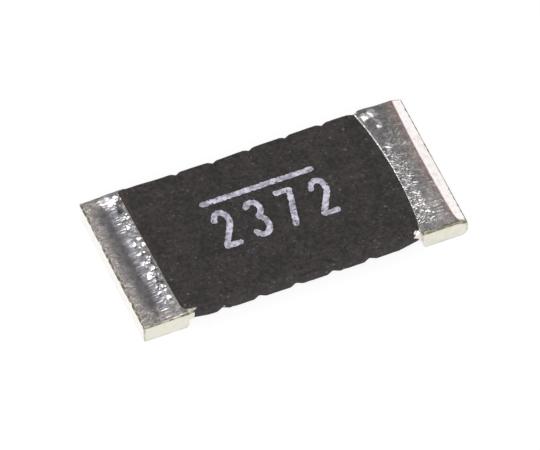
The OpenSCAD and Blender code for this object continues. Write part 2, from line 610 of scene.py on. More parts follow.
class ShaderGraph(NodeGraph):
    """Nodes of one material, which reads Object coordinates in millimetres."""

    def __init__(self, name: str) -> None:
        """Starts a material with its main shader and its coordinates.

        Args:
            name: Name of the material.
        """
        self.material = bpy.data.materials.new(name)
        self.material.use_nodes = True
        super().__init__(self.material.node_tree)
        self.surface = self.tree.nodes["Principled BSDF"]
        place = self.node("ShaderNodeTexCoord").outputs["Object"]
        self.place = self.stretch(place, (1.0 / MILLIMETRE,) * 3)
        self.x, self.y, self.z = self.node("ShaderNodeSeparateXYZ", Vector=self.place).outputs

    def stretch(
        self, place: Socket, scale: Triple, shift: Triple = (0.0, 0.0, 0.0), turn: float = 0.0
    ) -> Socket:
        """Coordinates turned about the upright axis by degrees, multiplied along each axis and then moved.

        Args:
            place: The coordinates.
            scale: Factor along each axis.
            shift: Move along each axis.
            turn: Turn in degrees.

        Returns:
            The new coordinates.
        """
        if turn:
            spun = self.node("ShaderNodeMapping", {"vector_type": "POINT"}, Vector=place)
            spun.inputs["Rotation"].default_value = (0.0, 0.0, math.radians(turn))
            place = spun.outputs["Vector"]
        return self.node("ShaderNodeMapping", Vector=place, Scale=scale, Location=shift).outputs["Vector"]

    def grain(self, pitch: float, detail: float = 2.0, place: Socket | None = None) -> Socket:
        """Noise from 0 to 1 whose humps lie about a pitch apart, in millimetres.

        Args:
            pitch: Distance between the humps.
            detail: Number of finer layers.
            place: Coordinates, where they aren't the object's own.

        Returns:
            The noise.
        """
        texture = self.node(
            "ShaderNodeTexNoise", Vector=place or self.place, Scale=1.0 / pitch, Detail=detail, Roughness=0.6
        )
        return texture.outputs["Fac"]

    def mark(self, name: str) -> Socket:
        """Number that the mesh's points carry under a name."""
        return self.node("ShaderNodeAttribute", {"attribute_name": name}).outputs["Fac"]

    def specks(self, pitch: float, radius: float, share: float, seed: float = 0.0) -> Socket:
        """Mask of round specks strewn on the surface.

        Args:
            pitch: Distance between places that may hold a speck.
            radius: Radius of a speck.
            share: Share of the places that hold one.
            seed: Shift of the pattern.

        Returns:
            Mask that is 1 inside the specks.
        """
        place = self.stretch(self.place, (1.0, 1.0, 1.0), (seed,) * 3)
        cells = self.node("ShaderNodeTexVoronoi", Vector=place, Scale=1.0 / pitch)
        spot = self.step(cells.outputs["Distance"], 0.6 * radius / pitch, radius / pitch, 1.0, 0.0)
        pick = self.node("ShaderNodeSeparateColor", Color=cells.outputs["Color"]).outputs[0]
        return self.product(spot, self.step(pick, 1.0 - share, 1.0 - share + 0.05))

    def relief(
        self, height: Socket, depth: float, strength: float = 1.0, normal: Socket | None = None
    ) -> Socket:
        """Normal bent by a height map of the given depth in millimetres.

        Args:
            height: The height map.
            depth: Height of what is 1 on the map.
            strength: Share of the bend.
            normal: Normal that is bent already, if any.

        Returns:
            The bent normal.
        """
        node = self.node("ShaderNodeBump", Height=height, Distance=depth * MILLIMETRE, Strength=strength)
        if normal:
            self.feed(node.inputs["Normal"], normal)
        return node.outputs["Normal"]

    def dress(self, **inputs: object) -> bpy.types.Material:
        """Sets the main shader's inputs by name and hands over the material.

        Args:
            **inputs: The inputs, each a number, a colour or a socket.

        Returns:
            The material.
        """
        for key, value in inputs.items():
            self.feed(self.surface.inputs[key.replace("_", " ")], value)
        return self.material


@dataclass(frozen=True)
class TinPlating:
    """Matt tin over copper: a tarnished top, pale faces and dark lines along the sheared edges.

    In its methods, reach is the distance from the chip's middle and fray the unevenness of an edge.
    """

    name: str
    sizes: ChipSizes
    side: Side
    tarnish: Colour = (0.25, 0.24, 0.235)
    cut_face: Colour = (0.79, 0.78, 0.68)
    end_face: Colour = (0.95, 0.94, 0.88)
    edge_line: Colour = (0.15, 0.132, 0.08)
    # Painted shade along the rims of the pale faces.
    face_rim_shade: Colour = (0.60, 0.58, 0.44)
    # Painted shade in the crevices between the weld's lumps.
    crevice_shade: Colour = (0.10, 0.10, 0.105)
    weld: Colour = (0.76, 0.74, 0.64)
    weld_top: Colour = (0.50, 0.465, 0.37)
    weld_front: float = -1.43
    scratches: float = 0.7
    scratch_turns: Triple = (25.0, -50.0, 80.0)
    ragged: float = 1.0

    def top_colour(self, graph: ShaderGraph, reach: Socket) -> Socket:
        """Colour of the tarnished top.

        Args:
            graph: Graph of the material.
            reach: Distance from the chip's middle.

        Returns:
            The colour.
        """
        raise NotImplementedError

    def roughness(self, graph: ShaderGraph, reach: Socket) -> Socket:
        """Share of the fine scratches that each place on the top has."""
        raise NotImplementedError

    def level(self, graph: ShaderGraph, reach: Socket) -> Socket:
        """Height, as if the top were flat up to the outer end."""
        return graph.z

    def weld_share(self, graph: ShaderGraph, reach: Socket) -> Socket:
        """Share of the weld metal that stands out at the front end of the joint.

        Args:
            graph: Graph of the material.
            reach: Distance from the chip's middle.

        Returns:
            The share.
        """
        joint = self.sizes.joint_x
        ahead = graph.step(graph.y, self.weld_front - 0.04, self.weld_front, 1.0, 0.0)
        return graph.product(ahead, graph.step(reach, joint - 0.005, joint + 0.005, 1.0, 0.0))

    def side_share(self, graph: ShaderGraph, reach: Socket) -> Socket:
        """Share of the long sides and the underside.

        Args:
            graph: Graph of the material.
            reach: Distance from the chip's middle.

        Returns:
            The share.
        """
        half_width, top = self.sizes.half_width, self.sizes.terminal_top
        front = graph.step(graph.y, -half_width + 0.008, -half_width + 0.02, 1.0, 0.0)
        rear = graph.step(graph.y, half_width - 0.02, half_width - 0.008)
        below_edge = graph.step(self.level(graph, reach), top - 0.05, top - 0.02, 1.0, 0.0)
        under = graph.step(graph.z, 0.004, 0.012, 1.0, 0.0)
        return graph.largest(front, graph.product(rear, below_edge), under)

    def faced(self, graph: ShaderGraph, reach: Socket, fray: Socket, colour: Socket) -> Socket:
        """Paints the pale faces, with painted shade along their rims, over the colour of the top.

        Args:
            graph: Graph of the material.
            reach: Distance from the chip's middle.
            fray: Unevenness of the rims.
            colour: Colour of the top.

        Returns:
            The colour of the whole block.
        """
        top, outer_x = self.sizes.terminal_top, self.sizes.outer_x
        patchy = graph.step(graph.grain(0.16, 2.0), 0.35, 0.65, 0.9, 1.0)
        low = graph.step(graph.total(graph.z, fray), 0.03, 0.075, 1.0, 0.0)
        high = graph.step(graph.total(self.level(graph, reach), fray), top - 0.075, top - 0.03)
        outer = graph.step(graph.total(reach, fray), outer_x - 0.07, outer_x - 0.02)
        # Painted shade along the faces' rims: at the bottom, at the top and at the outer end, and over the
        # top of the end face.
        rim_shade_strength = graph.step(graph.grain(0.12, 2.0), 0.3, 0.65, 0.05, 0.6)
        rim = graph.product(graph.largest(low, high, outer), rim_shade_strength)
        cut_face = graph.paint(rim, self.cut_face, self.face_rim_shade)
        end_face = graph.paint(graph.product(high, 0.5), self.end_face, self.face_rim_shade)
        end = graph.step(reach, outer_x - 0.016, outer_x - 0.008)
        colour = graph.paint(graph.product(end, patchy), colour, end_face)
        return graph.paint(graph.product(self.side_share(graph, reach), patchy), colour, cut_face)

    def edge_share(self, graph: ShaderGraph, reach: Socket, fray: Socket) -> Socket:
        """Share of the dark, patchy line along the top edges of the long sides and the outer end.

        Args:
            graph: Graph of the material.
            reach: Distance from the chip's middle.
            fray: Unevenness of the edge.

        Returns:
            The share.
        """
        half_width, top, outer_x = self.sizes.half_width, self.sizes.terminal_top, self.sizes.outer_x
        depth = graph.difference(graph.y, graph.product(fray, 0.5))
        at_front = graph.step(depth, -half_width + 0.024, -half_width + 0.04, 1.0, 0.0)
        at_rear = graph.step(graph.total(graph.y, fray), half_width - 0.030, half_width - 0.016)
        ragged = graph.total(reach, graph.product(fray, self.ragged))
        at_end = graph.step(ragged, outer_x - 0.026, outer_x - 0.016)
        patchiness = graph.step(graph.grain(0.09, 2.0), 0.35, 0.6, 0.45, 0.9)
        line = graph.product(graph.band(self.level(graph, reach), top - 0.03, top + 0.02, 0.012), patchiness)
        line = graph.product(graph.largest(at_front, at_rear, at_end), line)
        corner = graph.product(at_front, at_end, patchiness)
        return graph.largest(line, graph.product(corner, 0.5))

    def scratched(self, graph: ShaderGraph, rough: Socket) -> Socket:
        """Normal bent by a fine grain and by scratches in three directions, where the top is rough.

        Args:
            graph: Graph of the material.
            rough: Share of the grain and scratches at each place.

        Returns:
            The bent normal.
        """
        normal = graph.relief(graph.product(graph.grain(0.022, 2.0), rough), 0.0011, 0.8)
        for index, turn in enumerate(self.scratch_turns):
            place = graph.stretch(graph.place, (3.0, 55.0, 3.0), (1.0 + 3.0 * index,) * 3, turn)
            scratch = graph.step(graph.grain(1.0, 1.0, place), 0.60, 0.74)
            normal = graph.relief(graph.product(scratch, rough), 0.0008, self.scratches, normal)
        return normal

    def material(self) -> bpy.types.Material:
        """Builds the finish.

        Returns:
            The material.
        """
        graph = ShaderGraph(self.name)
        top = self.sizes.terminal_top
        reach = graph.product(graph.x, float(self.side.value))
        fray = graph.step(graph.grain(0.09, 3.0), 0.3, 0.7, -0.010, 0.014)
        # Painted shade: the crevices between the weld's lumps are darkened in the colour.
        colour = graph.paint(graph.mark("crevice_shade"), self.top_colour(graph, reach), self.crevice_shade)
        tab = self.weld_share(graph, reach)
        weld = graph.paint(graph.step(graph.z, top - 0.004, top + 0.006), self.weld, self.weld_top)
        colour = self.faced(graph, reach, fray, graph.paint(tab, colour, weld))
        line = self.edge_share(graph, reach, fray)
        colour = graph.paint(line, colour, self.edge_line)
        dull = graph.step(graph.grain(0.09, 3.0), 0.3, 0.7, 0.12, 0.26)
        dull = graph.largest(dull, graph.product(tab, 0.45), graph.product(line, 0.7))
        rough = graph.product(graph.step(graph.z, top - 0.09, top - 0.07), self.roughness(graph, reach))
        normal = self.scratched(graph, rough)
        return graph.dress(Base_Color=colour, Metallic=1.0, Roughness=dull, Normal=normal)


@dataclass(frozen=True)
class LeftTin(TinPlating):
    """Tin of the left block: a smooth dark band beside the weld and a warmer mottled margin outside it."""

    smooth: Colour = (0.28, 0.268, 0.275)
    stained: Colour = (0.40, 0.375, 0.37)
    crest: Colour = (0.56, 0.545, 0.56)
    flank: Colour = (0.68, 0.665, 0.71)
    # Warm grey of the dross beside the weld.
    dross_and_crevice_shade: Colour = (0.60, 0.555, 0.535)
    warm: Colour = (0.90, 0.83, 0.79)

    def top_colour(self, graph: ShaderGraph, reach: Socket) -> Socket:
        """Colour of the tarnished top, from the weld to the outer end.

        Args:
            graph: Graph of the material.
            reach: Distance from the chip's middle.

        Returns:
            The colour.
        """
        joint = self.sizes.joint_x
        streaks = graph.grain(1.0, 4.0, graph.stretch(graph.place, (5.0, 14.0, 5.0)))
        bend = graph.step(graph.y, -0.2, -0.9, 0.025, 0.075)
        mottle = graph.total(graph.grain(0.030, 2.0), graph.grain(0.10, 4.0))
        wander = graph.total(bend, graph.step(streaks, 0.25, 0.75, -0.05, 0.05), reach)
        rugged = graph.total(reach, graph.step(mottle, 0.8, 1.2, -0.06, 0.06))
        stain = graph.step(mottle, 0.82, 1.20, 0.0, 0.75)
        colour = graph.paint(graph.step(wander, joint + 0.27, joint + 0.40), self.crest, self.flank)
        colour = graph.paint(graph.step(wander, joint + 0.38, joint + 0.56), colour, self.smooth)
        margin = graph.paint(stain, self.warm, self.stained)
        dots = graph.product(graph.specks(0.08, 0.026, 0.40, 2.2), 0.6)
        margin = graph.paint(dots, margin, self.smooth)
        glints = graph.product(graph.specks(0.10, 0.024, 0.30, 5.2), 0.6)
        margin = graph.paint(glints, margin, self.end_face)
        colour = graph.paint(graph.step(rugged, joint + 0.57, joint + 0.82), colour, margin)
        behind = graph.step(graph.y, 1.2, 1.45, 0.0, 0.6)
        behind = graph.product(behind, graph.step(wander, joint + 0.4, joint + 0.5))
        uneven = graph.total(graph.y, graph.step(mottle, 0.8, 1.2, -0.1, 0.1))
        ahead = graph.step(uneven, -1.2, -1.42, 0.0, 0.7)
        colour = graph.paint(graph.largest(behind, ahead), colour, margin)
        beside = graph.step(wander, joint + 0.15, joint + 0.24, 0.9, 0.0)
        return graph.paint(beside, colour, graph.paint(stain, self.dross_and_crevice_shade, self.tarnish))

    def roughness(self, graph: ShaderGraph, reach: Socket) -> Socket:
        """Share of the fine scratches: none in the smooth band, all of them outside it."""
        joint = self.sizes.joint_x
        return graph.step(reach, joint + 0.58, joint + 0.70)


@dataclass(frozen=True)
class RightTin(TinPlating):
    """Tin of the right block: a dark, sparkling top, a brown line and a pinkish white sheared slope."""

    slope: Slope = Slope(2.975)
    sheared: Colour = (0.985, 0.935, 0.93)
    sheared_stain: Colour = (0.86, 0.77, 0.765)
    bared: Colour = (0.50, 0.385, 0.37)
    warm: Colour = (0.66, 0.61, 0.585)
    lilac: Colour = (0.57, 0.55, 0.562)
    silver: Colour = (0.74, 0.70, 0.69)
    olive: Colour = (0.24, 0.205, 0.145)
    lip: Colour = (0.96, 0.95, 0.93)

    def straightened(self, graph: ShaderGraph, reach: Socket) -> Socket:
        """Distance from the chip's middle, as if the slope's start were straight.

        Args:
            graph: Graph of the material.
            reach: Distance from the chip's middle.

        Returns:
            The distance.
        """
        slope = self.slope
        bow = graph.product(graph.y, graph.y, slope.bow / slope.bow_half**2)
        bent = graph.total(reach, graph.difference(slope.bow, bow))
        return graph.difference(bent, graph.step(graph.y, slope.turn_from, slope.turn_to, 0.0, slope.turn))

    def flat_colour(self, graph: ShaderGraph, bent: Socket) -> Socket:
        """Colour of the flat top: lilac along the weld, warmer outside, silver ahead and dark at the rear.

        Args:
            graph: Graph of the material.
            bent: Distance from the chip's middle, as if the slope's start were straight.

        Returns:
            The colour.
        """
        start, joint = self.slope.start_x, self.sizes.joint_x
        stain = graph.step(graph.grain(0.05, 4.0), 0.40, 0.66, 0.1, 0.9)
        wander = graph.total(bent, graph.step(graph.grain(0.25, 2.0), 0.2, 0.8, -0.07, 0.07))
        warm = graph.paint(graph.product(stain, 0.6), self.warm, self.tarnish)
        lilac = graph.paint(stain, self.lilac, self.tarnish)
        colour = graph.paint(graph.step(wander, start - 0.30, start - 0.18), lilac, warm)
        colour = graph.paint(graph.step(graph.y, -0.3, -0.9, 0.0, 0.45), colour, self.silver)
        rear = graph.step(graph.y, 0.6, 1.1, 0.0, 0.5)
        beside = graph.step(wander, joint + 0.16, joint + 0.28, 0.45, 0.0)
        patch = graph.step(graph.grain(0.28, 3.0), 0.48, 0.66, 0.0, 0.6)
        patch = graph.product(patch, graph.step(graph.y, -1.0, -0.4, 0.2, 1.0))
        return graph.paint(graph.largest(patch, rear, beside), colour, self.tarnish)

    def top_colour(self, graph: ShaderGraph, reach: Socket) -> Socket:
        """Colour of the tarnished top, from the weld to the outer end.

        Args:
            graph: Graph of the material.
            reach: Distance from the chip's middle.

        Returns:
            The colour.
        """
        start, outer_x = self.slope.start_x, self.sizes.outer_x
        bent = self.straightened(graph, reach)
        colour = self.flat_colour(graph, bent)
        blotch = graph.step(graph.grain(0.13, 3.0), 0.5, 0.72)
        sheared = graph.paint(blotch, self.sheared, self.sheared_stain)
        colour = graph.paint(graph.step(bent, start, start + 0.012), colour, sheared)
        colour = graph.paint(graph.band(reach, outer_x - 0.019, outer_x, 0.004), colour, self.edge_line)
        inside = graph.step(bent, start - 0.16, start - 0.01)
        outside = graph.step(bent, start + 0.002, start + 0.03, 1.0, 0.0)
        patchiness = graph.step(graph.grain(0.2, 3.0), 0.3, 0.6, 0.2, 0.95)
        colour = graph.paint(graph.product(inside, outside, patchiness), colour, self.bared)
        # Dark olive line along the front top edge.
        uneven = graph.step(graph.grain(0.08, 3.0), 0.3, 0.7, -0.03, 0.03)
        front_line_place = graph.total(graph.y, uneven, graph.step(reach, start - 0.3, start + 0.1, 0.02, -0.02))
        colour = graph.paint(graph.step(front_line_place, -1.50, -1.56, 0.0, 0.85), colour, self.olive)
        raised = self.sizes.terminal_top + self.sizes.bead_height
        return graph.paint(graph.step(graph.z, raised + 0.003, raised + 0.008), colour, self.lip)

    def level(self, graph: ShaderGraph, reach: Socket) -> Socket:
        """Height, as if the slope were level with the top."""
        start, outer_x = self.slope.start_x, self.sizes.outer_x
        return graph.total(graph.z, graph.step(reach, start, outer_x, 0.0, self.slope.drop, smooth=False))

    def roughness(self, graph: ShaderGraph, reach: Socket) -> Socket:
        """Share of the fine scratches: fewer along the weld and at the rear.

        Args:
            graph: Graph of the material.
            reach: Distance from the chip's middle.

        Returns:
            The share.
        """
        start = self.slope.start_x
        inner = graph.step(reach, start - 0.5, start - 0.25, 0.3, 0.5)
        return graph.product(inner, graph.step(graph.y, 0.2, 1.1, 1.0, 0.3))


@dataclass(frozen=True)
class BareAlloy:
    """Bare nickel-chrome of the resistance strip, drawn out along the chip."""

    name: str = "bare_nickel_chrome"
    pale: Colour = (0.58, 0.55, 0.51)
    dark: Colour = (0.40, 0.37, 0.34)

    def material(self) -> bpy.types.Material:
        """Builds the finish.

        Returns:
            The material.
        """
        graph = ShaderGraph(self.name)
        drawn = graph.grain(1.0, 3.0, graph.stretch(graph.place, (1.5, 40.0, 40.0)))
        colour = graph.paint(graph.step(drawn, 0.3, 0.7), self.pale, self.dark)
        dull = graph.step(drawn, 0.3, 0.7, 0.3, 0.45)
        normal = graph.relief(drawn, 0.002, 0.6)
        return graph.dress(Base_Color=colour, Metallic=1.0, Roughness=dull, Normal=normal)


@dataclass(frozen=True)
class BlackCoating:
    """Matt charcoal epoxy with a fine grain, pale filler specks, dark pits and a thin brown rim."""

    name: str
    sizes: ChipSizes
    dark: Colour = (0.0065, 0.0045, 0.0045)
    pale: Colour = (0.0340, 0.0268, 0.0272)
    dust: Colour = (0.088, 0.081, 0.080)
    chalk: Colour = (0.36, 0.34, 0.32)
    pit: Colour = (0.006, 0.005, 0.005)
    thin: Colour = (0.045, 0.030, 0.022)
    brown: Colour = (0.10, 0.08, 0.06)

    def material(self) -> bpy.types.Material:
        """Builds the finish.

        Returns:
            The material.
        """
        graph = ShaderGraph(self.name)
        cloud = graph.grain(0.35, 4.0)
        grit = graph.grain(0.07, 4.0)
        mottled = graph.total(graph.product(cloud, 0.22), graph.product(grit, 0.78))
        colour = graph.paint(graph.step(mottled, 0.36, 0.64), self.dark, self.pale)
        left = self.sizes.coating_left
        edge = graph.step(graph.x, left + 0.02, left + 0.09, 0.9, 0.0)
        colour = graph.paint(graph.product(edge, graph.step(cloud, 0.3, 0.6)), colour, self.thin)
        colour = graph.paint(graph.specks(0.12, 0.026, 0.20, 1.3), colour, self.pit)
        colour = graph.paint(graph.specks(0.08, 0.016, 0.10, 3.1), colour, self.dust)
        colour = graph.paint(graph.specks(0.15, 0.030, 0.14, 5.9), colour, self.dust)
        colour = graph.paint(graph.specks(0.34, 0.026, 0.12, 7.7), colour, self.chalk)
        fleck = graph.step(graph.grain(0.055, 2.0), 0.60, 0.70)
        fleck = graph.product(fleck, graph.step(cloud, 0.40, 0.60), 0.65)
        colour = graph.paint(fleck, colour, self.dust)
        front_y = -self.sizes.coating_half_width
        front = graph.step(graph.y, front_y + 0.12, front_y + 0.3, 1.0, 0.0)
        brown = graph.product(front, graph.specks(0.075, 0.02, 0.10, 9.1))
        colour = graph.paint(brown, colour, self.brown)
        dull = graph.step(grit, 0.3, 0.7, 0.5, 0.75)
        normal = graph.relief(grit, 0.006, 0.8)
        return graph.dress(Base_Color=colour, Roughness=dull, Normal=normal, Specular_IOR_Level=0.3)


@dataclass(frozen=True)
class MarkingInk:
    """Pale lavender ink, pitted where it missed the grain of the coating."""

    name: str = "marking_ink"
    pale: Colour = (0.50, 0.483, 0.568)
    thin: Colour = (0.21, 0.20, 0.245)
    missed: Colour = (0.05, 0.045, 0.05)

    def material(self) -> bpy.types.Material:
        """Builds the finish.

        Returns:
            The material.
        """
        graph = ShaderGraph(self.name)
        cover = graph.grain(0.11, 4.0)
        colour = graph.paint(graph.step(cover, 0.35, 0.65), self.thin, self.pale)
        colour = graph.paint(graph.step(graph.grain(0.06, 2.0), 0.60, 0.68), colour, self.missed)
        return graph.dress(Base_Color=colour, Roughness=0.6, Normal=graph.relief(cover, 0.002, 0.6))


@dataclass(frozen=True)
class Splash:
    """Low round hump of weld metal on a terminal's top, placed along the chip and across it."""

    x: float
    y: float
    radius: float
    height: float

    def at(self, x: float, y: float) -> float:
        """Height of the hump at a place."""
        return self.height * bump(math.hypot(x - self.x, y - self.y), 0.0, self.radius)


@dataclass
class Terminal:
    """Tinned copper end block with the weld bead along its inner edge.

    Places along the chip are positive at either end, and the left block is mirrored when it is done.
    """

    sizes: ChipSizes
    side: Side = Side.RIGHT
    edge_radius: float = 0.02
    rolled_radius: float = 0.03
    inner_radius: float = 0.12
    edge_segments: int = 3
    wall_pitch: float = 0.03
    slope_length: float = 0.0
    bead_shift: float = 0.10
    bead_reach: float = 0.17
    rear_end: float = 1.565
    front_end: float = 1.47
    spare: float = 0.05
    lip_gap: float = 0.0005
    wall_keep: float = 0.2
    dent: float = 0.003
    dent_pitches: tuple[float, float] = (0.12, 0.05)
    bite: float = 0.004
    large_bites: Unevenness = Unevenness(1.0, 0.11, 6.0)
    small_bites: Unevenness = Unevenness(0.5, 0.05, 9.0)
    lumps: Unevenness = Unevenness(0.012, 0.11, 11.0, Pattern.LUMPS)
    creases: Unevenness = Unevenness(0.005, 0.07, 14.0, Pattern.CREASES)
    crumble_sink: float = 0.008
    crumble_wander: Unevenness = Unevenness(0.05, 0.15, 8.0)
    # Darkness of the painted shade in the crevices between the weld's lumps.
    dross_and_crevice_shade: float = 0.9
    splashes: tuple[Splash, ...] = ()
    crumbs: tuple[Crumb, ...] = ()

    @property
    def name(self) -> str:
        """Name of the CAD node that the block stands for."""
        return f"{self.side.name.lower()}_terminal"

    @property
    def slope(self) -> Slope:
        """Sheared slope of a block that has one."""
        return Slope(self.sizes.outer_x - self.slope_length)

    def bead(self, x: float) -> float:
        """Height of the plain weld bead above the block's top."""
        return self.sizes.bead_height * bump(x - self.sizes.joint_x, self.bead_shift, self.bead_reach)

    def splash(self, x: float, y: float) -> float:
        """Height of the humps of weld metal at a place."""
        return sum(item.at(x, y) for item in self.splashes)

    def surface(self, x: float, y: float) -> float:
        """Height of the finished top above the terminal's plain top."""
        return self.bead(x)

    def crumbly(self, x: float, y: float) -> float:
        """Share of the weld's lumps that a place has."""
        return 0.0

    def crumble(self, x: float, y: float) -> float:
        """Height of the weld's lumps at a place."""
        return self.crumbly(x, y) * (self.lumps.at(x, y) + self.creases.at(x, y) - self.crumble_sink)

    def crevice_shade(self, at: Vector) -> float:
        """Share of painted shade at a place, in the crevices between the lumps of the weld."""
        return 0.0

    def finish(self) -> TinPlating:
        """Tin of this block."""
        raise NotImplementedError

    def add_weld(self, clay: Clay) -> None:
        """Adds the weld metal that stands out at the front end of the joint."""
        for crumb in self.crumbs:
            clay.blob(crumb)

    def place(self, at: Vector) -> Vector:
        """Moves a point of the rough block to its place on the finished one.

        Args:
            at: Point of the rough block.

        Returns:
            Its place on the finished block.
        """
        sizes = self.sizes
        rough_top = sizes.terminal_top + self.spare
        x, y, z = at
        if x < sizes.joint_x - self.lip_gap / 2:
            end = self.front_end if y < 0.0 else self.rear_end
            fade = max(0.02, ramp(abs(y), end, end - 0.05))
            x = sizes.joint_x - (sizes.joint_x - x) * fade
            share = (z - sizes.terminal_top) / self.spare
            return Vector((x, y, sizes.terminal_top + share * fade * self.surface(x, y)))
        new_top = sizes.terminal_top + self.surface(x, y)
        shoulder = rough_top - self.edge_radius
        if z > shoulder - NEAR:
            z += new_top - rough_top
        elif z > self.wall_keep:
            share = (z - self.wall_keep) / (shoulder - self.wall_keep)
            z = self.wall_keep + share * (new_top - self.edge_radius - self.wall_keep)
        x, z = self.roll(x, z, sizes.outer_x, self.rolled_radius)
        x, z = self.roll(x, z, sizes.joint_x, -self.inner_radius)
        return Vector((x, y, z))

    def roll(self, x: float, z: float, end: float, radius: float) -> tuple[float, float]:
        """Rounds a bottom edge over.

        Args:
            x: Place along the chip.
            z: Height.
            end: Where the face that ends in that edge stands.
            radius: Radius of the edge, negative on a face that looks towards the chip's middle.

        Returns:
            The point's new place along the chip and height.
        """
        sign = math.copysign(1.0, radius)
        radius = abs(radius)
        dx = sign * (x - end) + radius
        dz = radius - z
        reach = math.hypot(dx, dz)
        if dx <= 0.0 or dz <= 0.0 or reach <= radius:
            return x, z
        return x + sign * dx * (radius / reach - 1.0), z - dz * (radius / reach - 1.0)

    def is_rounded(self, edge: bmesh.types.BMEdge) -> bool:
        """Says whether an edge of the rough block is rounded: those on its long sides and its outer end.

        Args:
            edge: Edge of the rough block.

        Returns:
            Whether it is rounded.
        """
        first, last = (vert.co for vert in edge.verts)
        middle = (first + last) / 2
        sizes = self.sizes
        run = last - first
        at_side = abs(abs(middle.y) - sizes.half_width) < NEAR
        at_end = abs(middle.x - sizes.outer_x) < NEAR
        at_top = abs(middle.z - sizes.terminal_top - self.spare) < NEAR
        at_bottom = abs(middle.z) < NEAR
        if abs(run.x) > SAME:
            return at_side and (at_top or at_bottom)
        if abs(run.y) > SAME:
            return at_end and (at_top or at_bottom)
        return at_end and at_side

    def build(self, pitch: float = 0.009) -> bpy.types.Object:
        """Builds and dresses the block.

        Args:
            pitch: Spacing of the mesh on the block's top.

        Returns:
            The finished piece.
        """
        sizes = self.sizes
        clay = Clay()
        inner_x = sizes.joint_x - sizes.bead_reach
        lip_x = sizes.joint_x - self.lip_gap
        end_x = sizes.outer_x - self.edge_radius
        side_y = sizes.half_width - self.edge_radius
        rough_top = sizes.terminal_top + self.spare
        clay.box((inner_x, -sizes.half_width, 0.0), (sizes.outer_x, sizes.half_width, rough_top))
        clay.slice(Axis.ALONG, sizes.joint_x)
        clay.slice(Axis.ALONG, lip_x)
        for vert in clay.mesh.verts:
            if vert.co.x < lip_x + SAME and vert.co.z < SAME:
                vert.co.z = sizes.terminal_top
        clay.round_edges(self.is_rounded, self.edge_radius, self.edge_segments)
        if self.slope_length:
            slope_x = self.slope.start_x
            clay.slice(Axis.ALONG, slope_x)
            clay.split(Axis.ALONG, sizes.joint_x, slope_x, pitch)
            clay.split(Axis.ALONG, slope_x, end_x, pitch)
        else:
            clay.split(Axis.ALONG, sizes.joint_x, end_x, pitch)
        clay.split(Axis.ALONG, inner_x, lip_x, 2 * pitch)
        clay.split(Axis.ACROSS, -side_y, side_y, pitch)
        clay.split(Axis.UP, self.edge_radius, rough_top - self.edge_radius, self.wall_pitch)
        clay.shape(self.place)
        clay.weather(self.wear)
        clay.shape(self.trim)
        self.add_weld(clay)
        # Marks the share of painted shade in the crevices between the weld's lumps.
        clay.mark("crevice_shade", self.crevice_shade)
        if self.side is Side.LEFT:
            bmesh.ops.scale(clay.mesh, vec=(-1.0, 1.0, 1.0), verts=clay.mesh.verts)
        return clay.hand_over(f"{self.name}_block", self.finish().material(), Slot.TIN, self.name)

    def trim(self, at: Vector) -> Vector:
        """Keeps a point between the block's long sides."""
        half_width = self.sizes.half_width
        return Vector((at.x, min(half_width, max(-half_width, at.y)), at.z))

    def wear(self, at: Vector, normal: Vector) -> float:
        """Depth of the small dents in the block's faces and of the bites in its outer top edge.

        Args:
            at: Point on the surface.
            normal: Direction that the surface faces there.

        Returns:
            The depth, which is negative inwards.
        """
        if normal.z > 0.9:
            return 0.0
        large, small = self.dent_pitches
        dent = max(0.0, noise.noise(at / large) + 0.5 * noise.noise(at / small))
        bite = max(0.0, self.large_bites.at(at.y, at.x) + self.small_bites.at(at.y, at.x))
        at_top = ramp(at.z, self.sizes.terminal_top - 0.12, self.sizes.terminal_top - 0.03)
        return -self.dent * dent - self.bite * bite * at_top * ramp(normal.x, 0.3, 0.7)


